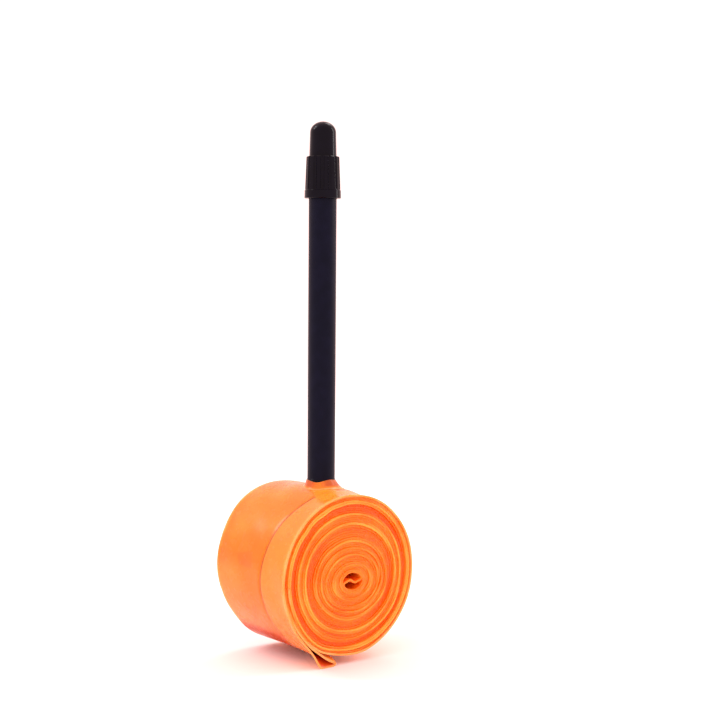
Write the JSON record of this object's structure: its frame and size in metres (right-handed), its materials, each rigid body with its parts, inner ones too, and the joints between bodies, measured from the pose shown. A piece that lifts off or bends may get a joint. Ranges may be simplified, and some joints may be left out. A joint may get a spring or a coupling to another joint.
{
  "type": "bicycle inner tube",
  "caption": "Rolled-up lightweight inner tube of thin plastic film, with a long smooth valve stem, removable core and screw-on dust cap.",
  "frame": {"origin": "on the valve axis, where the bare stem leaves the collar of film, 1.5 mm above the wound film", "axes": "+Z out along the valve towards the cap; Y along the roll's axis with the coiled face at -Y; the film's free end is at the lower -X side"},
  "size_m": [0.029, 0.0216, 0.0973],
  "materials": {
    "tube_film": "glossy, slightly translucent soft film",
    "foot_plastic": "soft moulded plastic under the film",
    "stem_plastic": "satin moulded plastic",
    "cap_plastic": "glossy dome, satin ribbed skirt",
    "core_metal": "machined brass",
    "seal_rubber": "matt rubber",
    "gasket_plastic": "smooth white plastic"
  },
  "bodies": {
    "tube": {"wound_turns": "tube_film", "inner_fold": "tube_film", "outer_wrap": "tube_film", "end_loop": "tube_film", "valve_foot": "foot_plastic", "weld_collar": "tube_film", "valve_stem": "stem_plastic", "core_body": "core_metal", "core_gasket": "gasket_plastic"},
    "pin": {"valve_pin": "core_metal", "pin_seal": "seal_rubber", "seal_cup": "core_metal"},
    "nut": {"lock_nut": "core_metal"},
    "cap": {"dust_cap": "cap_plastic"}
  },
  "joints": [
    {"name": "nut_turn", "type": "hinge", "parent": "tube", "child": "nut", "pos_m": [0, 0, 0.0585], "axis": [0, 0, 1], "range_deg": [0, 1080]},
    {"name": "pin_slide", "type": "slide", "parent": "tube", "child": "pin", "axis": [0, 0, 1], "range_m": [-0.0015, 0]},
    {"name": "cap_lift", "type": "slide", "parent": "tube", "child": "cap", "axis": [0, 0, 1], "range_m": [0, 0.016]}
  ],
  "couplings": [
    {"joint": "nut_turn", "follows": "pin_slide", "rad_per_m": -12566}
  ]
}
